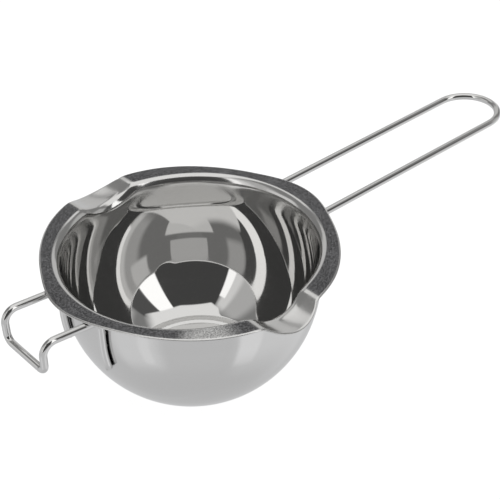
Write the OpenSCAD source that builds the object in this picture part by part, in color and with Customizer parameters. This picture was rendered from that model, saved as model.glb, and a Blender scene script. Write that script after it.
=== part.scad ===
// Candle melting pot: a pressed steel bowl with a flat rim and two pouring lips, a long loop
// handle of bent wire, and a short bent-wire hook that rests on the rim of a larger pan.
// Both wires are spot-welded to the outside of the bowl wall.
// Origin: centre of the resting face. +Z up, +X along the long handle.

/* [Bowl] */
// Height from the resting face to the top of the rim
bowl_h = 68; // [60:0.5:80]
// Thickness of the pressed sheet
sheet_t = 0.7; // [0.5:0.1:1]
// Outer radius of the round lower body
ball_r = 60; // [56:0.1:62]
// Height of the centre of the round lower body
ball_z = 50.2; // [48:0.1:51]
// Outward lean of the upper wall, from vertical
wall_draft = 2; // [1:0.5:5]
// Radius of the rounded edge where the wall turns into the rim
edge_r = 3.5; // [1.5:0.1:4]

/* [Base] */
// Radius of the flat disc that the bowl stands on
foot_r = 28.4; // [24:0.1:29]
// Height of the step around that disc
step_h = 0.65; // [0.3:0.05:1]
// Width of the sloping side of the step
step_w = 1.8; // [1:0.1:3]

/* [Rim] */
// Smallest radius of the rim outline, on both sides of the handle and of the hook
rim_min_r = 68.4; // [67:0.1:70]
// How far the rim bulges out over the handle and over the hook
rim_tab = 2.8; // [0:0.1:4]
// Half angle of that bulge
rim_tab_angle = 28; // [20:1:30]
// How far the rim widens towards the pouring lips
rim_swell = 3.1; // [0:0.1:4]
// Angle from the handle where the widening starts
swell_start = 30; // [30:1:40]
// Angle from the handle where the widening ends
swell_end = 78; // [70:1:80]

/* [Pouring lips] */
// Half width of each pouring lip at the rim
lip_half_w = 14.6; // [12:0.1:17]
// Depth of each pouring lip below the rim
lip_depth = 5.6; // [4:0.1:7]
// Distance from the bowl axis to the tip of each lip
lip_reach = 75.4; // [73:0.1:78]
// Direction of the front lip, from the handle
front_lip_angle = -89.5; // [-94:0.5:-86]
// Direction of the back lip, from the handle
back_lip_angle = 93.5; // [86:0.5:96]

/* [Wires] */
// Diameter of both bent wires
wire_d = 3.5; // [3:0.1:4]
// Clearance between a wire and the wall, filled by weld metal at the welds
weld_gap = 0.1; // [0.05:0.05:0.3]
// Depth of the wire ends below the top of the rim
wire_end_depth = 30.5; // [28:0.5:36]
// Centreline radius of the bend where a wire turns down the wall
root_bend_r = 4; // [3:0.5:6]

/* [Long handle] */
// Distance from the bowl axis to the far end of the handle
handle_reach = 202.5; // [160:0.5:230]
// Distance between the centrelines of the two handle legs
handle_w = 33.2; // [28:0.2:36]
// Depth of the handle centreline below the top of the rim, at the rim's edge
handle_drop = 4.7; // [3:0.1:8]
// Upward slope of the handle
handle_rise = 1.8; // [0:0.1:5]

/* [Support hook] */
// Distance from the bowl axis to the centreline of the hook's upright
hook_reach = 89.4; // [86:0.2:96]
// Distance between the centrelines of the two hook legs
hook_w = 30.4; // [26:0.2:34]
// Depth of the cross bar's centreline below the top of the rim
hook_bar_depth = 16; // [14:0.5:24]
// Upward slope of the hook legs
hook_rise = 4.4; // [2:0.1:6]
// Centreline radius of the bends at the top of the hook's uprights
hook_bend_r = 6; // [5:0.5:7]
// Centreline radius of the bends between the uprights and the cross bar
hook_bar_bend_r = 4; // [4:0.5:7]

/* [Welds] */
// Length of each weld along the wire
weld_l = 4; // [3:0.5:5]
// Width of each weld across the wire
weld_w = 2.2; // [1.6:0.1:2.6]
// Depth of the upper weld of each wire end below the top of the rim
upper_weld_depth = 11; // [11:0.5:12]
// Depth of the lower weld of each wire end below the top of the rim
lower_weld_depth = 17.5; // [17:0.5:18]

/* [Hidden] */
$fn = 96;

STEEL = [0.80, 0.80, 0.81];
WIRE_STEEL = [0.84, 0.84, 0.85];
WELD_STEEL = [0.62, 0.62, 0.63];

// Lean of the wall as a slope, and the radius at which the rounded edge meets the flat rim
lean = tan(wall_draft);
edge_z = bowl_h - edge_r;
edge_x = wall_x(sheet_t, edge_z + edge_r * sin(wall_draft)) + edge_r * cos(wall_draft);
edge_steps = 6;

// Angle between neighbouring points of the rim outline
rim_step = 3;

// Straight lengths of wire are a little thinner than the bends and reach a little into them.
// The last straight length is the tip of a wire end.
straight_d = wire_d - 0.02;
straight_lap = 0.1;
wire_tip_l = 0.4;

// Wire centreline: offset from the outside of the wall, measured level
wire_off = (wire_d / 2 + weld_gap) / cos(wall_draft);
wire_end_z = bowl_h - wire_end_depth;
rim_tip_r = rim_min_r + rim_tab;
hook_z = bowl_h - sheet_t - wire_d / 2 - 0.05;

// Pouring lips: radius of the round trough, its axis height, and the curve of its tip in plan
trough_r = (pow(lip_half_w, 2) + pow(lip_depth, 2)) / (2 * lip_depth);
trough_z = bowl_h - lip_depth + trough_r;
lip_root_y = sqrt(pow(rim_min_r + rim_swell, 2) - pow(lip_half_w, 2));
lip_sag = lip_reach - lip_root_y;
tip_r = (pow(lip_half_w, 2) + pow(lip_sag, 2)) / (2 * lip_sag);
LIP_ANGLES = [front_lip_angle, back_lip_angle];

// ---- Bowl ----

// Height where the wall meets the round body, for the surface that lies skin inside the outer one
function wall_z(skin) = ball_z - (ball_r - skin) * sin(wall_draft);

// Radius of the leaning wall at height z
function wall_x(skin, z) = (ball_r - skin) * cos(wall_draft) + (z - wall_z(skin)) * lean;

// Everything below the surface that lies skin inside the outer one, up to height top_z
module body_section(skin, top_z) {
    floor_z = step_h + skin;
    slope_in = skin * tan(atan2(step_h, step_w) / 2);
    polygon([
        [0, skin],
        [foot_r - slope_in, skin],
        [foot_r + step_w - slope_in, floor_z],
        [0, floor_z]
    ]);
    intersection() {
        translate([0, ball_z])
            circle(r = ball_r - skin);
        translate([0, floor_z])
            square([ball_r, wall_z(skin) - floor_z]);
    }
    polygon([
        [0, wall_z(skin)],
        [wall_x(skin, wall_z(skin)), wall_z(skin)],
        [wall_x(skin, top_z), top_z],
        [0, top_z]
    ]);
}

// The part of a section beside the rounded edge, from the wall to the flat rim
module edge_section(round_r, top_z) {
    start = 180 - wall_draft;
    arc = [
        for (i = [0:edge_steps])
            let (a = start + (90 - start) * i / edge_steps)
            [edge_x + round_r * cos(a), edge_z + round_r * sin(a)]
    ];
    polygon(concat([[0, arc[0][1]]], arc, [[edge_x, top_z], [0, top_z]]));
}

module hollow_section() {
    body_section(sheet_t, edge_z + edge_r * sin(wall_draft));
    edge_section(edge_r, bowl_h + 1);
}

module shell_section() {
    under_r = edge_r - sheet_t;
    difference() {
        union() {
            body_section(0, edge_z + under_r * sin(wall_draft));
            edge_section(under_r, bowl_h);
            translate([0, bowl_h - sheet_t])
                square([edge_x + 1.5, sheet_t]);
        }
        hollow_section();
    }
}

// Radius of the rim outline at an angle from the nearer of the handle and the hook
function tab(a) = a < rim_tab_angle ? rim_tab * (1 + cos(180 * a / rim_tab_angle)) / 2 : 0;
function swell_part(a) = min(max((a - swell_start) / (swell_end - swell_start), 0), 1);
function rim_r(a) = rim_min_r + tab(a) + rim_swell * pow(sin(90 * swell_part(a)), 2);
function from_wire(a) = abs(a % 180) > 90 ? 180 - abs(a % 180) : abs(a % 180);

module rim_plate() {
    translate([0, 0, bowl_h - sheet_t])
        linear_extrude(sheet_t)
            difference() {
                polygon([for (a = [0:rim_step:359]) rim_r(from_wire(a)) * [cos(a), sin(a)]]);
                circle(r = edge_x + 0.8);
            }
}

// A round bar along +X at the height of a trough
module trough_bar(r, from_x, length) {
    translate([from_x, 0, trough_z])
        rotate([0, 90, 0])
            cylinder(r = r, h = length);
}

// Sheet of one pouring lip, pointing along +X
module lip_sheet() {
    intersection() {
        difference() {
            trough_bar(trough_r + sheet_t, 50, 40);
            trough_bar(trough_r, 49, 42);
        }
        translate([lip_reach - tip_r, 0, bowl_h - lip_depth - 2])
            cylinder(r = tip_r, h = lip_depth + 2);
    }
}

module bowl() {
    color(STEEL)
        difference() {
            union() {
                difference() {
                    union() {
                        rotate_extrude()
                            shell_section();
                        rim_plate();
                    }
                    for (a = LIP_ANGLES)
                        rotate([0, 0, a])
                            trough_bar(trough_r, 50, 40);
                }
                for (a = LIP_ANGLES)
                    rotate([0, 0, a])
                        lip_sheet();
            }
            rotate_extrude()
                hollow_section();
        }
}

// ---- Bent wires ----

// Distance out from the bowl axis of a wire that runs down the wall, y off the middle, at height z
function root_x(y, z) = sqrt(pow(wall_x(0, z) + wire_off, 2) - y * y);

// Lean of that wire from vertical, beside the wall
function root_lean(y) =
    atan((root_x(y, edge_z) - root_x(y, wall_z(0))) / (edge_z - wall_z(0)));

// Below the wall the wire follows the round body, on an arc about the body's centre height
function follow_r(y) = sqrt(pow(ball_r + wire_d / 2 + weld_gap, 2) - y * y);
function follow_x(y) = follow_r(y) * cos(root_lean(y));
function follow_z(y) = ball_z - follow_r(y) * sin(root_lean(y));
function follow_turn(y) = asin((ball_z - wire_end_z) / follow_r(y)) - root_lean(y);

// Distance out of the corner where it would meet a leg that climbs at rise and passes height z0
// at the edge of the rim
function corner_x(y, z0, rise) =
    let (
        k = tan(root_lean(y)),
        climb = z0 - tan(rise) * rim_tip_r - follow_z(y)
    )
    (follow_x(y) + k * climb) / (1 - k * tan(rise));

// Height of a leg at distance x
function leg_z(x, z0, rise) = z0 + tan(rise) * (x - rim_tip_r);

// Straight wire that a bend of radius r takes up on each side of its corner
function bend_cut(r, angle) = r * tan(angle / 2);

// Turn from a leg that climbs outwards at rise to the run down the wall
function root_turn(y, rise) = 90 - rise - root_lean(y);

// Length of the straight run down the wall, below the corner
function root_run(y, z0, rise) =
    (leg_z(corner_x(y, z0, rise), z0, rise) - follow_z(y)) / cos(root_lean(y));

// Steps of a bend: [straight length before it, roll, bend radius, bend angle].
// The wire starts along +Z and bends towards +X; the last step is a straight length only.
module bent_wire(steps, i = 0) {
    step = steps[i];
    last = i == len(steps) - 1;
    before = i == 0 ? 0 : straight_lap;
    if (step[0] > 0)
        translate([0, 0, -before])
            cylinder(d = straight_d, h = before + step[0] + (last ? 0 : straight_lap));
    if (!last)
        translate([0, 0, step[0]])
            rotate([0, 0, step[1]]) {
                translate([step[2], 0, 0]) {
                    rotate([90, 0, 180])
                        rotate_extrude(angle = step[3])
                            translate([step[2], 0])
                                circle(d = wire_d);
                    rotate([0, step[3], 0])
                        translate([-step[2], 0, 0])
                            bent_wire(steps, i + 1);
                }
            }
}

// Half of a wire and its mirror image, joined at the middle, where it crosses y = 0 along y
module both_halves(steps) {
    for (side = [0, 1])
        mirror([0, side, 0])
            rotate([90, 0, 0])
                bent_wire(steps);
}

// Last steps of both wires: along a leg of length leg_l, down the wall, and round the body
function root_steps(y, z0, rise, leg_l, roll) =
    let (cut = bend_cut(root_bend_r, root_turn(y, rise)))
    [
        [leg_l - cut, roll, root_bend_r, root_turn(y, rise)],
        [root_run(y, z0, rise) - cut, 180, follow_r(y), follow_turn(y)],
        [wire_tip_l]
    ];

module long_handle() {
    y = handle_w / 2;
    z0 = bowl_h - handle_drop;
    tip_x = handle_reach - wire_d / 2;
    leg_l = (tip_x - corner_x(y, z0, handle_rise)) / cos(handle_rise);
    color(WIRE_STEEL)
        translate([tip_x, 0, leg_z(tip_x, z0, handle_rise)])
            rotate([0, -handle_rise, 0])
                both_halves(concat(
                    [[0, 180, y, 90]],
                    root_steps(y, z0, handle_rise, leg_l - y, 90)
                ));
}

module support_hook() {
    y = hook_w / 2;
    leg_l = (hook_reach - corner_x(y, hook_z, hook_rise)) / cos(hook_rise);
    top_turn = 90 + hook_rise;
    top_cut = bend_cut(hook_bend_r, top_turn);
    upright = leg_z(hook_reach, hook_z, hook_rise) - (bowl_h - hook_bar_depth);
    color(WIRE_STEEL)
        rotate([0, 0, 180])
            translate([hook_reach, 0, bowl_h - hook_bar_depth])
                both_halves(concat(
                    [
                        [y - hook_bar_bend_r, 90, hook_bar_bend_r, 90],
                        [upright - hook_bar_bend_r - top_cut, 90, hook_bend_r, top_turn]
                    ],
                    root_steps(y, hook_z, hook_rise, leg_l - top_cut, 0)
                ));
}

// ---- Welds ----

// Weld metal between the wall and a wire that runs down it at y, around one height.
// Its inner face is flat and touches the wall along one line.
module weld(y, z) {
    difference() {
        rotate([0, 0, atan2(y, root_x(y, z))])
            translate([wall_x(0, z), 0, z])
                rotate([0, wall_draft, 0])
                    translate([0, -weld_w / 2, -weld_l / 2])
                        cube([weld_gap + wire_d / 2, weld_w, weld_l]);
        translate([follow_x(y), y, follow_z(y)])
            rotate([0, root_lean(y), 0])
                cylinder(d = straight_d, h = bowl_h);
    }
}

module welds(y) {
    for (side = [-1, 1], depth = [upper_weld_depth, lower_weld_depth])
        weld(side * y, bowl_h - depth);
}

module handle_welds() {
    color(WELD_STEEL)
        welds(handle_w / 2);
}

module hook_welds() {
    color(WELD_STEEL)
        rotate([0, 0, 180])
            welds(hook_w / 2);
}

bowl();
long_handle();
support_hook();
handle_welds();
hook_welds();
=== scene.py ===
import math

import bpy
import numpy as np
from mathutils import Euler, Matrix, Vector


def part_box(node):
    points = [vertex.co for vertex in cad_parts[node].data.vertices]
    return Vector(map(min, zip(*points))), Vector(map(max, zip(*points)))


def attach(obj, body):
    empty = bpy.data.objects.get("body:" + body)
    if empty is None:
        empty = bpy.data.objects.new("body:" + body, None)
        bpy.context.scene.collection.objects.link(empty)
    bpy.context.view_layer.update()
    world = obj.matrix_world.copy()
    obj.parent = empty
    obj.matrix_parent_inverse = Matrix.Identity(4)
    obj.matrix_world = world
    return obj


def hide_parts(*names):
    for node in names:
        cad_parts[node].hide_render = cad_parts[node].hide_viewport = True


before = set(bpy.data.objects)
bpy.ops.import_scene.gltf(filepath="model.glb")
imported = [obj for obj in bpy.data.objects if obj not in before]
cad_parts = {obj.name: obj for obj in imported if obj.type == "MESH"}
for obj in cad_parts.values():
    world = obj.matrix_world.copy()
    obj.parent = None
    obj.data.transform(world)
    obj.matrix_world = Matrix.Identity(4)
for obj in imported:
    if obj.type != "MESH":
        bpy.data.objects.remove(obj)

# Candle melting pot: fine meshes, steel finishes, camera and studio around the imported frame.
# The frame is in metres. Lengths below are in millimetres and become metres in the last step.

MM = 0.001
scene = bpy.context.scene
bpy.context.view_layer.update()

# ---- Sizes taken from the frame, in millimetres ----


def box_mm(node):
    """Lowest and highest corner of a node's box."""
    low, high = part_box(node)
    return low / MM, high / MM


BOWL_LO, BOWL_HI = box_mm("bowl")
HANDLE_HI = box_mm("long_handle")[1]
HOOK_LO = box_mm("support_hook")[0]

RIM_Z = BOWL_HI.z
LIP_REACH = -BOWL_LO.y
RIM_TAB_R = BOWL_HI.x

# ---- Sizes that the frame's boxes don't give, in millimetres and degrees ----

# Bowl: a round body, a flatter curved wall that ends just past upright, and a rounded edge of
# height EDGE_H that meets the flat rim at radius EDGE_X
SHEET = 0.7
BALL_R = 60.0
BALL_Z = RIM_Z - 17.8
WALL_R = 68.0
WALL_LEAN = math.radians(20)
WALL_TOP_LEAN = math.radians(-2.5)
EDGE_X = 63.4
EDGE_H = 4.2
FOOT_R = 28.4
STEP_H = 0.65
STEP_W = 1.8
STEP_FILLET = 1.2
BODY_FILLET = 2.0

# Rim outline: a bulge over each wire, and a swell towards the lips. Its outer edge rolls down.
RIM_MIN_R = RIM_TAB_R - 2.8
RIM_TAB_ANGLE = 28
RIM_SWELL = 3.1
SWELL_ANGLES = (30, 78)
ROLL_W = 0.9
ROLL_DROP = 0.28

# Pouring lips: a round trough with a softened fold on each side
LIP_HALF_W = 14.6
LIP_DEPTH = 5.6
LIP_ANGLES = (-89.5, 93.5)
LIP_CREASE = 1.8
LIP_BELLY = 0.05
LIP_CORNER = 0.5
LIP_CORNER_RISE = 0.2

# Wires: each runs up the wall on a wide curve, then bends out under the rim
WIRE_R = 1.75
WIRE_GAP = 0.1
WIRE_END_Z = RIM_Z - 30.5
ROOT_BEND_R = 4.0
ROOT_CURVE_R = 30.0
ROOT_CURVES = 3
ROOT_RADII = [ROOT_CURVE_R] * ROOT_CURVES + [ROOT_BEND_R]
HANDLE_LEG_Y = HANDLE_HI.y - WIRE_R
HANDLE_TIP_X = HANDLE_HI.x - WIRE_R
HANDLE_Z = RIM_Z - 4.71
HANDLE_RISE = math.radians(1.8)
HOOK_LEG_Y = 15.3
HOOK_BAR_Y = 14.8
HOOK_X = -HOOK_LO.x - WIRE_R
HOOK_BAR_Z = RIM_Z - 16.0
HOOK_Z = RIM_Z - SHEET - WIRE_R - 0.05
HOOK_RISE = math.radians(4.4)
HOOK_BEND_R = 6.0
HOOK_BAR_BEND_R = 4.0

# Welds: depths below the rim, and half of a bead's length, width and thickness
WELD_DEPTHS = (11, 17.5)
WELD_HALF = (2.0, 0.8, 0.45)

# ---- Bowl ----


def wall_foot_z(skin):
    """Height where the wall's flatter curve starts, for the surface skin inside the outer one."""
    return BALL_Z - (BALL_R - skin) * math.sin(WALL_LEAN)


WALL_MIDDLE_R = (BALL_R - WALL_R) * math.cos(WALL_LEAN)
WALL_MIDDLE_Z = BALL_Z + (WALL_R - BALL_R) * math.sin(WALL_LEAN)


def wall_r(skin, z):
    """Radius of the round body, or above it of the curved and then straight wall, at height z."""
    body = np.sqrt((BALL_R - skin) ** 2 - (BALL_Z - z) ** 2)
    top_z = WALL_MIDDLE_Z - (WALL_R - skin) * math.sin(WALL_TOP_LEAN)
    curved_z = np.minimum(z, top_z)
    wall = WALL_MIDDLE_R + np.sqrt((WALL_R - skin) ** 2 - (curved_z - WALL_MIDDLE_Z) ** 2)
    wall = wall + (z - curved_z) * math.tan(WALL_TOP_LEAN)
    return np.where(z < wall_foot_z(skin), body, wall)


EDGE_Z = RIM_Z - EDGE_H
EDGE_W = EDGE_X - float(wall_r(SHEET, EDGE_Z))
EDGE_LEAN = math.atan(EDGE_H / EDGE_W * math.tan(WALL_TOP_LEAN))


def rim_r(angle):
    """Radius of the rim outline away from the lips, at an angle from +X in degrees."""
    a = abs((angle + 180) % 360 - 180)
    a = min(a, 180 - a)
    tab = (1 + math.cos(math.pi * a / RIM_TAB_ANGLE)) / 2 if a < RIM_TAB_ANGLE else 0
    start, end = SWELL_ANGLES
    swell = math.sin(math.pi / 2 * min(max((a - start) / (end - start), 0), 1)) ** 2
    return RIM_MIN_R + (RIM_TAB_R - RIM_MIN_R) * tab + RIM_SWELL * swell


def smooth_max(a, b, soft):
    """The larger of a and b, rounded over where they cross."""
    return (a + b + np.sqrt((a - b) ** 2 + soft**2)) / 2


LIP_ROOT_Y = math.sqrt((RIM_MIN_R + RIM_SWELL) ** 2 - LIP_HALF_W**2)
LIP_SAG = LIP_REACH - LIP_ROOT_Y
LIP_TIP_R = (LIP_HALF_W**2 + LIP_SAG**2) / (2 * LIP_SAG)
TROUGH_R = (LIP_HALF_W**2 + LIP_DEPTH**2) / (2 * LIP_DEPTH)


def lip_offset(angle):
    """Angle from the nearer lip's middle, in degrees."""
    turns = [(angle - a + 180) % 360 - 180 for a in LIP_ANGLES]
    return min(turns, key=abs)


def trough_depth(across):
    """Depth of a lip's trough below the rim, at a distance across from its middle."""
    almost = 0.98
    reach = np.minimum(np.abs(across), TROUGH_R * almost)
    depth = np.sqrt(TROUGH_R**2 - reach**2) - (TROUGH_R - LIP_DEPTH)
    settle = LIP_CREASE**2 / (4 * LIP_DEPTH)
    return np.maximum(smooth_max(depth, 0, LIP_CREASE) - settle, 0)


def outline_r(angle):
    """Radius of the whole outline, lips included."""
    off = math.radians(lip_offset(angle))
    plain = rim_r(angle)
    centre = LIP_REACH - LIP_TIP_R
    inside = LIP_TIP_R**2 - (centre * math.sin(off)) ** 2
    if abs(off) > math.pi / 6 or inside <= 0:
        return plain
    tongue = centre * math.cos(off) + math.sqrt(inside)
    rounded = smooth_max(tongue, plain, LIP_CORNER) - LIP_CORNER / 2 + LIP_CORNER_RISE
    return min(rounded, max(tongue, plain))


# Mesh columns per degree, away from the lips and extra across them, and where the extra fades out
COLUMNS = 0.8
LIP_COLUMNS = 3.2
LIP_FADE_ANGLE = 19
LIP_FADE_WIDTH = 1.5


def azimuths():
    """Column angles: close together across the lips and their creases, wider elsewhere."""
    step = 0.05
    fine = np.arange(0, 360, step)
    near = np.array([abs(lip_offset(a)) for a in fine])
    density = COLUMNS + LIP_COLUMNS / (1 + np.exp((near - LIP_FADE_ANGLE) / LIP_FADE_WIDTH))
    total = np.concatenate([[0], np.cumsum(density * step)])
    count = int(total[-1])
    return np.interp(np.arange(count) * total[-1] / count, total, np.append(fine, 360))


def fillet(before, corner, after, radius, steps):
    """Points of the arc that rounds a corner of a plane outline."""
    before, corner, after = (np.array(p, float) for p in (before, corner, after))
    u = (before - corner) / np.linalg.norm(before - corner)
    v = (after - corner) / np.linalg.norm(after - corner)
    half = math.acos(np.clip(u @ v, -1, 1)) / 2
    centre = corner + (u + v) / np.linalg.norm(u + v) * radius / math.sin(half)
    start = corner + u * radius / math.tan(half) - centre
    end = corner + v * radius / math.tan(half) - centre
    angle = math.acos(np.clip(start @ end / radius**2, -1, 1))
    points = []
    for k in range(steps + 1):
        t = k / steps
        a, b = math.sin((1 - t) * angle), math.sin(t * angle)
        points.append(centre + (a * start + b * end) / math.sin(angle))
    return points


# Rings of the bowl's mesh: radii on the flat foot, then how many over each stretch up to the rim
FLOOR_RINGS = (1.5, 4, 8, 12, 16, 20, 24, 26.5)
BODY_RINGS = 33
WALL_RINGS = 18
ROUNDED_RINGS = 14
RIM_RINGS = 12
ROLL_RINGS = 5
LIP_REGION = 0.6


def body_section():
    """Inner surface from the axis to the foot of the wall, as (radius, height)."""
    ball_r = BALL_R - SHEET
    step_in = SHEET * math.tan(math.atan2(STEP_H, STEP_W) / 2)
    foot = (FOOT_R - step_in, SHEET)
    ledge = (FOOT_R + STEP_W - step_in, SHEET + STEP_H)
    drop = BALL_Z - SHEET - STEP_H
    seat = (math.sqrt(ball_r**2 - drop**2), SHEET + STEP_H)
    seat_angle = math.asin(seat[0] / ball_r)
    along = (seat[0] + math.cos(seat_angle), seat[1] + math.sin(seat_angle))
    points = [(r, SHEET) for r in FLOOR_RINGS]
    points += fillet((0, SHEET), foot, ledge, STEP_FILLET, 5)
    points += fillet(foot, ledge, seat, STEP_FILLET, 5)
    points += fillet(ledge, seat, along, BODY_FILLET, 6)
    start = seat_angle + BODY_FILLET * math.tan(seat_angle / 2) / ball_r
    end = math.pi / 2 - WALL_LEAN
    for a in np.linspace(start, end, BODY_RINGS + 1)[1:]:
        points.append((ball_r * math.sin(a), BALL_Z - ball_r * math.cos(a)))
    return points


def lip_sink(off, r):
    """How far each column is pressed down at radius r. off is its angle from the nearer lip."""
    along = np.clip((r - EDGE_X) / (LIP_REACH - EDGE_X), 0, 1)
    belly = 1 + LIP_BELLY * np.sin(math.pi * along)
    far_off = 99
    return trough_depth(np.where(np.abs(off) < LIP_REGION, r * np.sin(off), far_off)) * belly


def top_surface():
    """Upper surface of the sheet, as points[ring, column]."""
    angles = azimuths()
    a = np.radians(angles)
    off = np.radians([lip_offset(x) for x in angles])
    radial = np.stack([np.cos(a), np.sin(a), np.zeros_like(a)], 1)
    up = np.array([0, 0, 1.0])
    rings = []

    def add(r, z):
        rings.append(radial * np.reshape(r, (-1, 1)) + up * np.reshape(z, (-1, 1)))

    ones = np.ones_like(a)
    for r, z in body_section():
        add(ones * r, ones * z)

    low = wall_foot_z(SHEET)
    for t in np.linspace(0, 1, WALL_RINGS + 2)[1:-1]:
        z = low + t * (EDGE_Z - lip_sink(off, EDGE_X - EDGE_W) - low)
        add(wall_r(SHEET, z), z)

    lean = math.tan(WALL_TOP_LEAN)
    for theta in np.linspace(math.pi - EDGE_LEAN, math.pi / 2, ROUNDED_RINGS + 1):
        r = EDGE_X + EDGE_W * math.cos(theta)
        sink = lip_sink(off, r)
        add(r - lean * sink, EDGE_Z + EDGE_H * math.sin(theta) - sink)

    inner = EDGE_X - lean * lip_sink(off, EDGE_X)
    outer = np.array([outline_r(x) for x in angles]) - SHEET / 2
    roll = outer - ROLL_W
    for t in np.linspace(0, 1, RIM_RINGS + 1)[1:]:
        r = inner + t * (roll - inner)
        add(r, RIM_Z - lip_sink(off, r))
    for t in np.linspace(0, 1, ROLL_RINGS + 1)[1:]:
        r = roll + t * ROLL_W
        add(r, RIM_Z - lip_sink(off, r) - ROLL_DROP * t**2)
    return np.array(rings)


def surface_normals(points):
    """Unit normals of points[ring, column], on the side that faces up."""
    along = np.gradient(points, axis=0)
    around = np.roll(points, -1, 1) - np.roll(points, 1, 1)
    normal = np.cross(along, around)
    return normal / np.linalg.norm(normal, axis=2, keepdims=True)


def grid_mesh(name, rings, low_pole, high_pole):
    """Closed mesh from rings of points, with a fan at each end."""
    count, columns = rings.shape[:2]
    verts = np.concatenate([rings.reshape(-1, 3), [low_pole, high_pole]]) * MM
    i = np.arange(columns)
    j = np.roll(i, -1)
    faces = []
    for k in range(count - 1):
        a, b = k * columns, (k + 1) * columns
        faces += np.stack([a + i, b + i, b + j, a + j], 1).tolist()
    last = (count - 1) * columns
    faces += [[int(p), int(q), count * columns] for p, q in zip(i, j)]
    faces += [[last + int(q), last + int(p), count * columns + 1] for p, q in zip(i, j)]
    mesh = bpy.data.meshes.new(name)
    mesh.from_pydata(verts.tolist(), [], faces)
    mesh.update()
    mesh.polygons.foreach_set("use_smooth", np.ones(len(faces), bool))
    obj = bpy.data.objects.new(name, mesh)
    scene.collection.objects.link(obj)
    return obj


# Steps round the half circle of the sheet's cut edge
CUT_EDGE_STEPS = 8


def make_bowl():
    """The pressed sheet: upper surface, rounded cut edge, and under surface one thickness below."""
    top = top_surface()
    normal = surface_normals(top)
    under = top - normal * SHEET
    around = np.roll(top[-1], -1, 0) - np.roll(top[-1], 1, 0)
    outward = np.cross(around, normal[-1])
    outward /= np.linalg.norm(outward, axis=1, keepdims=True)
    middle = (top[-1] + under[-1]) / 2
    edge = []
    for k in range(1, CUT_EDGE_STEPS):
        turn = math.pi * k / CUT_EDGE_STEPS
        edge.append(middle + SHEET / 2 * (math.cos(turn) * normal[-1] + math.sin(turn) * outward))
    rings = np.concatenate([top, np.array(edge), under[::-1]])
    return grid_mesh("pot_bowl", rings, (0, 0, SHEET), (0, 0, 0))


# ---- Wires ----


def rounded_path(corners, radii, turn=math.radians(4)):
    """Points along a bent wire: straight lengths with an arc at each inner corner."""
    corners = [np.array(c, float) for c in corners]
    points = [corners[0]]
    for before, corner, after, radius in zip(corners, corners[1:], corners[2:], radii):
        u = (before - corner) / np.linalg.norm(before - corner)
        v = (after - corner) / np.linalg.norm(after - corner)
        sweep = math.pi - math.acos(np.clip(u @ v, -1, 1))
        steps = max(4, round(sweep / turn))
        points += fillet(before, corner, after, radius, steps)
    points.append(corners[-1])
    return np.array(points)


def spaced(points, gap):
    """Adds points along long straight lengths, and drops doubled ones."""
    out = [points[0]]
    for p, q in zip(points, points[1:]):
        length = np.linalg.norm(q - p)
        if length < 1e-6:
            continue
        n = max(1, math.ceil(length / gap))
        out += [p + (q - p) * k / n for k in range(1, n + 1)]
    return np.array(out)


def wire_mesh(name, path, radius, sides=32, chamfer=0.25):
    """Round wire along a path, with slightly rounded ends."""
    tangent = np.gradient(path, axis=0)
    tangent /= np.linalg.norm(tangent, axis=1, keepdims=True)
    side = np.cross(tangent[0], (0, 1, 0.2))
    side /= np.linalg.norm(side)
    angles = np.linspace(0, 2 * math.pi, sides, endpoint=False)
    rings = []
    last = len(path) - 1
    for k, (p, t) in enumerate(zip(path, tangent)):
        side = side - t * (side @ t)
        side /= np.linalg.norm(side)
        across = np.cross(t, side)
        circle = np.outer(np.cos(angles), side) + np.outer(np.sin(angles), across)
        if k == 0:
            rings += [p + circle * (radius - chamfer), p + t * chamfer + circle * radius]
        elif k == last:
            rings += [p - t * chamfer + circle * radius, p + circle * (radius - chamfer)]
        else:
            rings.append(p + circle * radius)
    wire = grid_mesh(name, np.array(rings), path[0], path[-1])
    add_drawn(wire, path, angles, radius)
    return wire


def add_drawn(wire, path, angles, radius):
    """Stores where each point is along and around the wire, for its drawn lines, in metres."""
    run = np.concatenate([[0], np.cumsum(np.linalg.norm(np.diff(path, axis=0), axis=1))])
    ring_run = np.concatenate([run[:1], run, run[-1:]])
    around = np.stack([np.cos(angles), np.sin(angles)], 1) * radius
    drawn = [(along, a, b) for along in ring_run for a, b in around]
    drawn += [(run[0], 0, 0), (run[-1], 0, 0)]
    attribute = wire.data.attributes.new("drawn", "FLOAT_VECTOR", "POINT")
    attribute.data.foreach_set("vector", (np.array(drawn) * MM).ravel())


def root_x(y, z):
    """Distance out of a wire that runs down the wall, y off the middle."""
    return math.sqrt((float(wall_r(0, z)) + WIRE_R + WIRE_GAP) ** 2 - y * y)


def root_corners(y, z0, rise):
    """Points of the run up the wall, and where it would meet the leg that climbs outwards."""
    heights = np.linspace(WIRE_END_Z, BALL_Z, ROOT_CURVES + 1)
    run = [(root_x(y, z), -y, z) for z in heights]
    x = root_x(y, WALL_MIDDLE_Z)
    return run + [(x, -y, leg_z(x, z0, rise))]


def leg_z(x, z0, rise):
    """Height at x of a leg that climbs outwards at rise and passes z0 at the edge of the rim."""
    return z0 + math.tan(rise) * (x - RIM_TAB_R)


def mirrored(half):
    """Corners of a whole wire from those of the half at y < 0."""
    return half + [(x, -y, z) for x, y, z in reversed(half)]


def make_handle():
    """The long loop: two legs joined by a half circle at the far end."""
    y = HANDLE_LEG_Y
    tip = (HANDLE_TIP_X, -y, leg_z(HANDLE_TIP_X, HANDLE_Z, HANDLE_RISE))
    half = root_corners(y, HANDLE_Z, HANDLE_RISE) + [tip]
    radii = ROOT_RADII + [y]
    path = rounded_path(mirrored(half), radii + radii[::-1])
    return wire_mesh("pot_long_handle", spaced(path, 4), WIRE_R)


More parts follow.
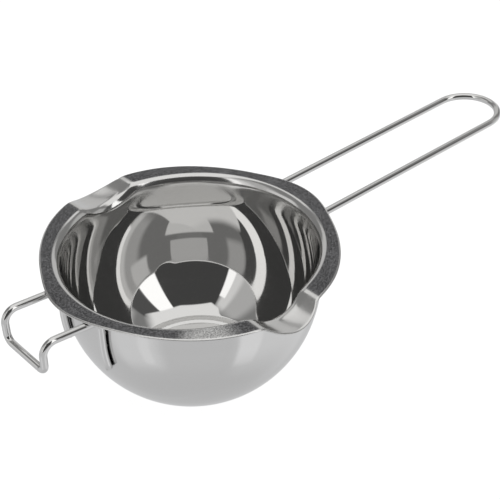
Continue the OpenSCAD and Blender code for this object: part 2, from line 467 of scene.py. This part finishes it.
def make_hook():
    """The short hook: two legs that turn down to a cross bar, facing away from the handle."""
    y = HOOK_LEG_Y
    top = (HOOK_X, -y, leg_z(HOOK_X, HOOK_Z, HOOK_RISE))
    bottom = (HOOK_X, -HOOK_BAR_Y, HOOK_BAR_Z)
    half = root_corners(y, HOOK_Z, HOOK_RISE) + [top, bottom]
    radii = ROOT_RADII + [HOOK_BEND_R, HOOK_BAR_BEND_R]
    path = rounded_path(mirrored(half), radii + radii[::-1])
    path[:, 0] *= -1
    return wire_mesh("pot_support_hook", spaced(path, 4), WIRE_R)


# ---- Welds ----

WELD_RINGS = 9
WELD_SIDES = 24
WELD_SPAN = (0.08, 0.92)

# Unevenness of a bead: two waves round its outline, as shares, and one along it in millimetres
WELD_WAVES = (0.07, 0.05)
WELD_RIPPLE = 0.05


def weld_mesh(name, y, depth, facing, seed):
    """Lumpy bead between a wire and the wall. facing is 1 for the handle and -1 for the hook."""
    z = RIM_Z - depth
    turn = math.atan2(y, root_x(y, z))
    out = np.array([math.cos(turn), math.sin(turn), 0])
    side = np.array([-math.sin(turn), math.cos(turn), 0])
    down = np.cross(side, out)
    skin_r = float(wall_r(0, z))
    centre = np.array([skin_r * math.cos(turn), skin_r * math.sin(turn), z])
    length, width, bulge = WELD_HALF
    rng = np.random.default_rng(seed)
    lumps = rng.uniform(0, 2 * math.pi, 3)
    angles = np.linspace(0, 2 * math.pi, WELD_SIDES, endpoint=False)
    rings = []
    for t in np.linspace(*WELD_SPAN, WELD_RINGS) * math.pi:
        wave = 1 + WELD_WAVES[0] * np.sin(2 * angles + lumps[0])
        wave = wave + WELD_WAVES[1] * np.sin(3 * angles + 4 * t + lumps[1])
        ripple = WELD_RIPPLE * math.sin(3 * t + lumps[2])
        along = -length * math.cos(t) * np.ones_like(angles)
        across = width * math.sin(t) * np.cos(angles) * wave
        height = bulge * math.sin(t) * np.sin(angles) * wave + ripple
        rings.append(centre + np.outer(along, down) + np.outer(across, side) + np.outer(height, out))
    rings = np.array(rings)
    ends = [centre - length * down, centre + length * down]
    rings[..., 0] *= facing
    for end in ends:
        end[0] *= facing
    if facing < 0:
        rings = rings[:, ::-1]
    return grid_mesh(name, rings, *ends)


def make_welds(wire, y, facing):
    """The four beads of one wire: two on each of its runs down the wall."""
    beads = []
    for k, side in enumerate((-1, 1)):
        for n, depth in enumerate(WELD_DEPTHS):
            seed = 10 * k + n + (100 if facing < 0 else 0)
            name = f"pot_{wire}_weld_{2 * k + n + 1}"
            beads.append(weld_mesh(name, side * y, depth, facing, seed))
    return beads


# ---- Camera ----

CAMERA_MM = (-290.6, -406.4, 411.6)
CAMERA_AZIMUTH = -38.73
CAMERA_ELEVATION = 34.89
CAMERA_ROLL = -2.16
CAMERA_LENS = 95.73
CAMERA_SENSOR = 36


def make_camera():
    """Long lens that looks down on the near side of the pot, tilted a little."""
    data = bpy.data.cameras.new("camera")
    data.lens = CAMERA_LENS
    data.sensor_width = CAMERA_SENSOR
    data.clip_start = 0.01
    cam = bpy.data.objects.new("camera", data)
    scene.collection.objects.link(cam)
    cam.location = Vector(CAMERA_MM) * MM
    turn = Euler((math.radians(90 - CAMERA_ELEVATION), 0, math.radians(CAMERA_AZIMUTH)), "XYZ")
    roll = Euler((0, 0, math.radians(CAMERA_ROLL)), "XYZ")
    cam.rotation_euler = (turn.to_matrix() @ roll.to_matrix()).to_euler()
    scene.camera = cam


make_camera()
bowl = make_bowl()
handle = make_handle()
hook = make_hook()
handle_welds = make_welds("handle", HANDLE_LEG_Y, 1)
hook_welds = make_welds("hook", HOOK_LEG_Y, -1)

for piece, node in ((bowl, "bowl"), (handle, "long_handle"), (hook, "support_hook")):
    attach(piece, "root")
    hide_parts(node)
for beads, node in ((handle_welds, "handle_welds"), (hook_welds, "hook_welds")):
    for bead in beads:
        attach(bead, "root")
        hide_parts(node)

# ---- Steel ----

# Colours: polished steel and its finer rings, the satin top of the rim with its grain and painted
# shade, and one painted highlight: a lighter spot on the rim beside the front lip
STEEL = (0.725, 0.722, 0.716, 1)
STEEL_RINGS = (0.7, 0.697, 0.69, 1)
# Painted shade: the satin top's dark colours, light and dark grain, where the rim mirrors dark
# surroundings
RIM_TOP_PAINTED_SHADE = (0.28, 0.28, 0.29, 1)
RIM_TOP_PAINTED_DEEP_SHADE = (0.065, 0.065, 0.068, 1)
# The painted highlight on the rim: its light and dark grain colours, its centre and its radius
RIM_HIGHLIGHT = (0.95, 0.95, 0.94, 1)
RIM_HIGHLIGHT_DARK = (0.38, 0.38, 0.38, 1)
RIM_HIGHLIGHT_CENTRE = (-36.0, -59.5, RIM_Z)
RIM_HIGHLIGHT_R = 16.0
WELD = (0.48, 0.465, 0.44, 1)
WELD_DARK = (0.32, 0.315, 0.31, 1)

# Painted shade in the gaps: the colour where two surfaces are closer than the reach below
PAINTED_CREVICE_SHADE = (0.05, 0.05, 0.05, 1)
PAINTED_SHADE_REACH = 2.5

# Roughness: the least and the most over each finish
POLISH = (0.02, 0.045)
SATIN_ROUGHNESS = (0.24, 0.32)
WALL_TOP_ROUGHNESS = 0.13
LIP_ROUGHNESS = 0.22
HAZE_ROUGHNESS = 0.38
WIRE_ROUGHNESS = (0.05, 0.11)
WELD_ROUGHNESS = (0.25, 0.38)

# Where finishes change: the satin starts between these depths below the rim's top, the wall grows
# dull and hazy upwards between these heights, and the lips grow dull between these radii
SATIN_DEPTHS = (0.3, 0.1)
WALL_TOP_Z = (0.76 * RIM_Z, 0.93 * RIM_Z)
HAZE_Z = (0.3 * RIM_Z, 0.95 * RIM_Z)
LIP_DULL_R = (63.5, 66.5)

# Share of haze over the polish, at the bottom and at the top of HAZE_Z
HAZE = (0.01, 0.05)

# Depth of the bumps, in millimetres
RING_BUMP = 0.0004
GRAIN_BUMP = 0.03
WIRE_BUMP = 0.0005
PIT_BUMP = 0.01


class Nodes:
    """Short calls for building a node tree."""

    def __init__(self, tree):
        tree.nodes.clear()
        self.tree = tree

    def add(self, kind, **settings):
        node = self.tree.nodes.new(kind)
        for key, value in settings.items():
            setattr(node, key, value)
        return node

    def put(self, socket, value):
        if isinstance(value, bpy.types.NodeSocket):
            self.tree.links.new(value, socket)
        else:
            socket.default_value = value

    def maths(self, operation, *values):
        node = self.add("ShaderNodeMath", operation=operation)
        for socket, value in zip(node.inputs, values):
            self.put(socket, value)
        return node.outputs[0]

    def ramp(self, value, start, end, low=0.0, high=1.0):
        """Smooth step from low to high as value goes from start to end."""
        node = self.add("ShaderNodeMapRange", interpolation_type="SMOOTHSTEP")
        for name, x in (("Value", value), ("From Min", start), ("From Max", end)):
            self.put(node.inputs[name], x)
        for name, x in (("To Min", low), ("To Max", high)):
            self.put(node.inputs[name], x)
        return node.outputs["Result"]

    def xyz(self, vector):
        node = self.add("ShaderNodeSeparateXYZ")
        self.put(node.inputs[0], vector)
        return node.outputs

    def vector(self, x, y, z):
        node = self.add("ShaderNodeCombineXYZ")
        for socket, value in zip(node.inputs, (x, y, z)):
            self.put(socket, value)
        return node.outputs[0]

    def noise(self, vector, scale, detail=2.0, roughness=0.5):
        node = self.add("ShaderNodeTexNoise")
        self.put(node.inputs["Vector"], vector)
        for name, value in (("Scale", scale), ("Detail", detail), ("Roughness", roughness)):
            node.inputs[name].default_value = value
        return node.outputs["Fac"]

    def stretched(self, vector, scales):
        node = self.add("ShaderNodeVectorMath", operation="MULTIPLY")
        self.put(node.inputs[0], vector)
        node.inputs[1].default_value = scales
        return node.outputs[0]

    def mixed(self, factor, low, high):
        """Number that goes from low to high as factor goes from 0 to 1."""
        node = self.add("ShaderNodeMix")
        for socket, value in zip(node.inputs[:4], (factor, None, low, high)):
            if value is not None:
                self.put(socket, value)
        return node.outputs[0]

    def tint(self, factor, low, high):
        """Colour that goes from low to high as factor goes from 0 to 1."""
        node = self.add("ShaderNodeValToRGB")
        node.color_ramp.elements[0].color = low
        node.color_ramp.elements[1].color = high
        self.put(node.inputs[0], factor)
        return node.outputs[0]

    def blend(self, factor, low, high):
        """Colour that goes from one colour socket to another as factor goes from 0 to 1."""
        node = self.add("ShaderNodeMix", data_type="RGBA")
        for name, value in (("Factor_Float", factor), ("A_Color", low), ("B_Color", high)):
            self.put([socket for socket in node.inputs if socket.identifier == name][0], value)
        return [socket for socket in node.outputs if socket.identifier == "Result_Color"][0]

    def distance(self, vector, point):
        """How far a vector socket is from a fixed point."""
        node = self.add("ShaderNodeVectorMath", operation="DISTANCE")
        self.put(node.inputs[0], vector)
        node.inputs[1].default_value = point
        return node.outputs["Value"]

    def with_painted_crevice_shade(self, colour):
        """The colour, darkened by painted shade where another surface is close."""
        node = self.add("ShaderNodeAmbientOcclusion", samples=8)
        node.inputs["Distance"].default_value = PAINTED_SHADE_REACH * MM
        openness = self.ramp(node.outputs["AO"], 0.3, 0.75)
        return self.blend(openness, PAINTED_CREVICE_SHADE, colour)

    def bump(self, height, depth_mm, strength=1.0, under=None):
        """Normal with bumps of the given depth on it, over another one's normal if there is one."""
        node = self.add("ShaderNodeBump")
        self.put(node.inputs["Height"], height)
        self.put(node.inputs["Strength"], strength)
        node.inputs["Distance"].default_value = depth_mm * MM
        if under is not None:
            self.put(node.inputs["Normal"], under)
        return node.outputs[0]


def steel_material(name):
    """A material, its tree, its metal shader and its output node."""
    material = bpy.data.materials.new(name)
    material.use_nodes = True
    nodes = Nodes(material.node_tree)
    shader = nodes.add("ShaderNodeBsdfPrincipled")
    shader.inputs["Metallic"].default_value = 1.0
    output = nodes.add("ShaderNodeOutputMaterial")
    nodes.put(output.inputs["Surface"], shader.outputs[0])
    return material, nodes, shader, output


def haze_over(nodes, shader, output, amount):
    """Puts a thin layer of duller steel over a shader."""
    haze = nodes.add("ShaderNodeBsdfPrincipled")
    haze.inputs["Metallic"].default_value = 1.0
    haze.inputs["Base Color"].default_value = STEEL
    haze.inputs["Roughness"].default_value = HAZE_ROUGHNESS
    both = nodes.add("ShaderNodeMixShader")
    nodes.put(both.inputs[0], amount)
    nodes.put(both.inputs[1], shader.outputs[0])
    nodes.put(both.inputs[2], haze.outputs[0])
    nodes.put(output.inputs["Surface"], both.outputs[0])


def satin_shade_and_highlight(nodes, place, grain, clouds):
    """Colour of the rim's grained top in painted shade, with a lighter painted highlight spot."""
    worn = nodes.ramp(clouds, 0.55, 0.8, 0.0, 0.12)
    specks = nodes.ramp(nodes.maths("ADD", grain, worn), 0.38, 0.66)
    # The satin top's grain colours are painted shade, dark where the rim mirrors dark surroundings
    satin = nodes.tint(specks, RIM_TOP_PAINTED_DEEP_SHADE, RIM_TOP_PAINTED_SHADE)
    # Painted highlight: the grained top is lighter in a round spot beside the front lip
    from_highlight = nodes.distance(place, Vector(RIM_HIGHLIGHT_CENTRE) * MM)
    highlight_mask = nodes.ramp(from_highlight, RIM_HIGHLIGHT_R * MM, 0.3 * RIM_HIGHLIGHT_R * MM)
    rubbing_and_highlight = nodes.tint(nodes.ramp(grain, 0.35, 0.65), RIM_HIGHLIGHT_DARK, RIM_HIGHLIGHT)
    return nodes.blend(highlight_mask, satin, rubbing_and_highlight)


def bowl_steel():
    """Spun, polished steel: faint rings all round, and a grained satin rim top in painted shade."""
    material, nodes, shader, output = steel_material("bowl_steel")
    coordinates = nodes.add("ShaderNodeTexCoord").outputs
    place = coordinates["Object"]
    x, y, z = nodes.xyz(place)
    radius = nodes.maths("SQRT", nodes.maths("MULTIPLY_ADD", x, x, nodes.maths("MULTIPLY", y, y)))
    on_top = nodes.ramp(z, (RIM_Z - SATIN_DEPTHS[0]) * MM, (RIM_Z - SATIN_DEPTHS[1]) * MM)
    level = nodes.ramp(nodes.xyz(coordinates["Normal"])[2], 0.95, 0.99)
    satin = nodes.maths("MULTIPLY", on_top, level)

    down_section = nodes.maths("SUBTRACT", radius, z)
    rings = nodes.vector(nodes.maths("MULTIPLY", x, 12.0), nodes.maths("MULTIPLY", y, 12.0),
                         nodes.maths("MULTIPLY", down_section, 1800.0))
    spun = nodes.noise(rings, 1.0, 3.0)
    wipes = nodes.noise(place, 45.0, 2.0)
    grain = nodes.noise(place, 1400.0, 3.0, 0.7)
    clouds = nodes.noise(place, 90.0, 3.0)

    polish = nodes.ramp(wipes, 0.35, 0.7, *POLISH)
    formed = nodes.ramp(radius, LIP_DULL_R[0] * MM, LIP_DULL_R[1] * MM, 0.0, LIP_ROUGHNESS)
    wall_top = nodes.ramp(z, WALL_TOP_Z[0] * MM, WALL_TOP_Z[1] * MM, 0.0, WALL_TOP_ROUGHNESS)
    side_finish = nodes.maths("MAXIMUM", polish, nodes.maths("MAXIMUM", formed, wall_top))
    top_finish = nodes.ramp(clouds, 0.3, 0.7, *SATIN_ROUGHNESS)
    nodes.put(shader.inputs["Roughness"], nodes.mixed(satin, side_finish, top_finish))

    # Painted shade darkens this colour in the gaps beside the wires and welds
    side_colour = nodes.with_painted_crevice_shade(nodes.tint(spun, STEEL_RINGS, STEEL))
    # The rim top's colour: its grain, painted shade and a painted highlight
    top_colour = satin_shade_and_highlight(nodes, place, grain, clouds)
    nodes.put(shader.inputs["Base Color"], nodes.blend(satin, side_colour, top_colour))
    lines = nodes.bump(spun, RING_BUMP)
    nodes.put(shader.inputs["Normal"], nodes.bump(grain, GRAIN_BUMP, satin, lines))

    up_wall = nodes.ramp(z, HAZE_Z[0] * MM, HAZE_Z[1] * MM, *HAZE)
    streaks = nodes.ramp(spun, 0.4, 0.75, 0.6, 1.5)
    rubbing_and_highlight = nodes.ramp(wipes, 0.35, 0.7, 0.5, 1.4)
    veil = nodes.maths("MULTIPLY", nodes.maths("MULTIPLY", up_wall, streaks), rubbing_and_highlight)
    bare = nodes.maths("MULTIPLY", veil, nodes.maths("SUBTRACT", 1.0, satin))
    haze_over(nodes, shader, output, bare)
    return material


def wire_steel():
    """Drawn and polished wire: fine lines along its length."""
    material, nodes, shader, _ = steel_material("wire_steel")
    drawn = nodes.add("ShaderNodeAttribute", attribute_name="drawn").outputs["Vector"]
    lines = nodes.noise(nodes.stretched(drawn, (25.0, 2600.0, 2600.0)), 1.0, 2.0)
    scuffs = nodes.noise(nodes.stretched(drawn, (160.0, 500.0, 500.0)), 1.0, 3.0)
    nodes.put(shader.inputs["Roughness"], nodes.ramp(scuffs, 0.35, 0.75, *WIRE_ROUGHNESS))
    # Painted shade darkens the wire's colour where it runs close to the wall
    colour = nodes.with_painted_crevice_shade(nodes.tint(lines, STEEL_RINGS, STEEL))
    nodes.put(shader.inputs["Base Color"], colour)
    nodes.put(shader.inputs["Normal"], nodes.bump(lines, WIRE_BUMP))
    return material


def weld_steel():
    """Fused steel: dull and pitted, with faint heat colours."""
    material, nodes, shader, _ = steel_material("weld_steel")
    place = nodes.add("ShaderNodeTexCoord").outputs["Object"]
    pits = nodes.noise(place, 1100.0, 3.0, 0.6)
    heat = nodes.noise(place, 300.0, 2.0)
    nodes.put(shader.inputs["Base Color"], nodes.tint(heat, WELD_DARK, WELD))
    nodes.put(shader.inputs["Roughness"], nodes.ramp(pits, 0.3, 0.7, *WELD_ROUGHNESS))
    nodes.put(shader.inputs["Normal"], nodes.bump(pits, PIT_BUMP))
    return material


bowl.data.materials.append(bowl_steel())
wire_finish = wire_steel()
for piece in (handle, hook):
    piece.data.materials.append(wire_finish)
weld_finish = weld_steel()
for bead in handle_welds + hook_welds:
    bead.data.materials.append(weld_finish)

# ---- Studio ----
# The steel mirrors its surroundings, so the world is a plain studio: a many-sided softbox
# overhead, softboxes and dark screens around the sides, and a pale table below.
# A card is (azimuth from +X, width, elevation, height, edge softness, brightness), in degrees.
# A side (a, b, c, softness) of the overhead softbox is the line a u + b v + c = 0 at height 1.

ROOM_TINT = (1.0, 0.996, 0.984, 1)
TABLE_TINT = (0.985, 0.99, 1.0, 1)
ROOM = 0.25
TABLE = 0.64
OVERHEAD = 0.95
OVERHEAD_LOWEST = (44, 46)
HORIZON_SOFT = 0.5
TINT_SOFT = 4
OVERHEAD_SIDES = {
    "left": (1.0, 0.0, 0.57, 0.02),
    "near_left": (0.7, 1.0, 0.624, 0.02),
    "near": (0.234, 1.0, 0.577, 0.02),
    "far_left": (1.0, -0.85, 0.53, 0.02),
    "far": (0.0, -1.0, 0.62, 0.02),
    "right": (-1.0, 0.0, 0.62, 0.16),
}
CARDS = {
    "wall_left": (167, 42, 30, 64, 14, 0.52),
    "wall_left_glow": (-177, 16, 30, 60, 8, 0.8),
    "screen_behind_camera": (-126, 80, 33, 62, 2, 0.065),
    "softbox_left": (-170.5, 9, 25, 50, 2, 1.3),
    "softbox_right": (-76, 22, 36, 60, 2, 1.4),
    "screen_right": (-54, 20, 33, 54, 3, 0.1),
    "table_right": (-27, 30, 17, 38, 8, 0.52),
    "table_left": (145, 32, 12, 30, 5, 0.75),
    "backdrop": (55, 63, 15, 38, 2, 0.62),
    "gap_above_backdrop": (52, 44, 38, 6, 2, 0.28),
    "overhead_back": (53, 88, 52, 20, 3, 0.83),
}
TABLE_CARDS = {
    "light_right": (-38, 96, -50, 70, 24, 0.77),
    "glare_right": (-77, 22, -43, 26, 6, 0.87),
    "light_left": (180, 44, -40, 30, 16, 0.77),
    "glare_left": (-171, 10, -40, 20, 5, 0.84),
    "shade_below": (-90, 358, -80, 44, 30, 0.6),
}


def wrapped(nodes, azimuth, centre):
    """Size of the turn between azimuth and centre, in degrees."""
    turn = nodes.maths("SUBTRACT", azimuth, float(centre))
    return nodes.maths("ABSOLUTE", nodes.maths("WRAP", turn, 180.0, -180.0))


def add_card(nodes, azimuth, elevation, level, card):
    """The brightness level with one card in front of it."""
    centre, width, height, tall, soft, bright = card
    across = nodes.ramp(wrapped(nodes, azimuth, centre), (width + soft) / 2, (width - soft) / 2)
    off = nodes.maths("ABSOLUTE", nodes.maths("SUBTRACT", elevation, float(height)))
    upright = nodes.ramp(off, (tall + soft) / 2, (tall - soft) / 2)
    return nodes.mixed(nodes.maths("MULTIPLY", across, upright), level, bright)


def overhead(nodes, x, y, z, elevation):
    """1 inside the outline of the overhead softbox and 0 outside it."""
    u = nodes.maths("DIVIDE", x, z)
    v = nodes.maths("DIVIDE", y, z)
    inside = nodes.ramp(elevation, *OVERHEAD_LOWEST)
    for a, b, c, soft in OVERHEAD_SIDES.values():
        along = nodes.maths("MULTIPLY_ADD", u, a, c)
        past = nodes.maths("MULTIPLY_ADD", v, b, along)
        inside = nodes.maths("MULTIPLY", inside, nodes.ramp(past, -soft, soft))
    return inside


def make_world():
    """World shader with the room above the horizon and the table below it."""
    world = bpy.data.worlds.new("studio")
    world.use_nodes = True
    scene.world = world
    nodes = Nodes(world.node_tree)
    x, y, z = nodes.xyz(nodes.add("ShaderNodeTexCoord").outputs["Generated"])
    azimuth = nodes.maths("DEGREES", nodes.maths("ARCTAN2", y, x))
    elevation = nodes.maths("DEGREES", nodes.maths("ARCSINE", z))
    level = ROOM
    for card in CARDS.values():
        level = add_card(nodes, azimuth, elevation, level, card)
    level = nodes.mixed(overhead(nodes, x, y, z, elevation), level, OVERHEAD)
    table = TABLE
    for card in TABLE_CARDS.values():
        table = add_card(nodes, azimuth, elevation, table, card)
    level = nodes.mixed(nodes.ramp(elevation, -HORIZON_SOFT, HORIZON_SOFT), table, level)
    up = nodes.ramp(elevation, -TINT_SOFT, TINT_SOFT)
    background = nodes.add("ShaderNodeBackground")
    nodes.put(background.inputs["Color"], nodes.tint(up, TABLE_TINT, ROOM_TINT))
    nodes.put(background.inputs["Strength"], level)
    output = nodes.add("ShaderNodeOutputWorld")
    nodes.put(output.inputs["Surface"], background.outputs[0])


# Floor and wall around the object, in metres
SWEEP_FLAT_R = (0.3, 0.8, 2.0)
SWEEP_CURVE = 0.8
SWEEP_H = 3.0
SWEEP_CURVE_STEPS = 12
SWEEP_COLUMNS = 96

PAPER = (0.4, 0.4, 0.4, 1)
PAPER_FIBRES = (0.38, 0.38, 0.38, 1)
PAPER_GLOW = 0.87


def make_sweep():
    """Pale floor that curves up into a wall all round. It is seen from above only."""
    flat_r = SWEEP_FLAT_R[-1]
    profile = [(r, 0) for r in SWEEP_FLAT_R]
    for k in range(1, SWEEP_CURVE_STEPS + 1):
        turn = math.pi / 2 * k / SWEEP_CURVE_STEPS
        profile.append((flat_r + SWEEP_CURVE * math.sin(turn), SWEEP_CURVE * (1 - math.cos(turn))))
    profile.append((flat_r + SWEEP_CURVE, SWEEP_H))
    angles = np.linspace(0, 2 * math.pi, SWEEP_COLUMNS, endpoint=False)
    rings = np.array([[(r * math.cos(a), r * math.sin(a), z) for a in angles] for r, z in profile])
    count, columns = rings.shape[:2]
    faces = [list(range(columns))]
    for k in range(count - 1):
        low, high = k * columns, (k + 1) * columns
        for i in range(columns):
            j = (i + 1) % columns
            faces.append([low + i, high + i, high + j, low + j])
    mesh = bpy.data.meshes.new("studio_sweep")
    mesh.from_pydata(rings.reshape(-1, 3).tolist(), [], faces)
    mesh.update()
    sweep = bpy.data.objects.new("studio_sweep", mesh)
    scene.collection.objects.link(sweep)
    sweep.visible_glossy = False
    sweep.visible_diffuse = False
    sweep.visible_shadow = False
    return sweep


def sweep_material():
    """Paper that glows a little, so that it stays pale in every corner. It is clear from behind."""
    material = bpy.data.materials.new("white_paper")
    material.use_nodes = True
    nodes = Nodes(material.node_tree)
    shader = nodes.add("ShaderNodeBsdfPrincipled")
    place = nodes.add("ShaderNodeTexCoord").outputs["Object"]
    fibres = nodes.noise(place, 900.0, 3.0)
    nodes.put(shader.inputs["Base Color"], nodes.tint(fibres, PAPER_FIBRES, PAPER))
    shader.inputs["Roughness"].default_value = 0.9
    shader.inputs["Specular IOR Level"].default_value = 0.0
    shader.inputs["Emission Color"].default_value = (1, 1, 1, 1)
    shader.inputs["Emission Strength"].default_value = PAPER_GLOW
    clear = nodes.add("ShaderNodeBsdfTransparent")
    facing = nodes.add("ShaderNodeNewGeometry").outputs["Backfacing"]
    mix = nodes.add("ShaderNodeMixShader")
    output = nodes.add("ShaderNodeOutputMaterial")
    nodes.put(mix.inputs[0], facing)
    nodes.put(mix.inputs[1], shader.outputs[0])
    nodes.put(mix.inputs[2], clear.outputs[0])
    nodes.put(output.inputs["Surface"], mix.outputs[0])
    return material


make_world()
sweep = make_sweep()
sweep.data.materials.append(sweep_material())

scene.view_settings.view_transform = "Standard"
scene.view_settings.look = "None"
scene.cycles.use_denoising = True
scene.cycles.denoising_input_passes = "RGB"
scene.cycles.max_bounces = 12
scene.cycles.glossy_bounces = 10
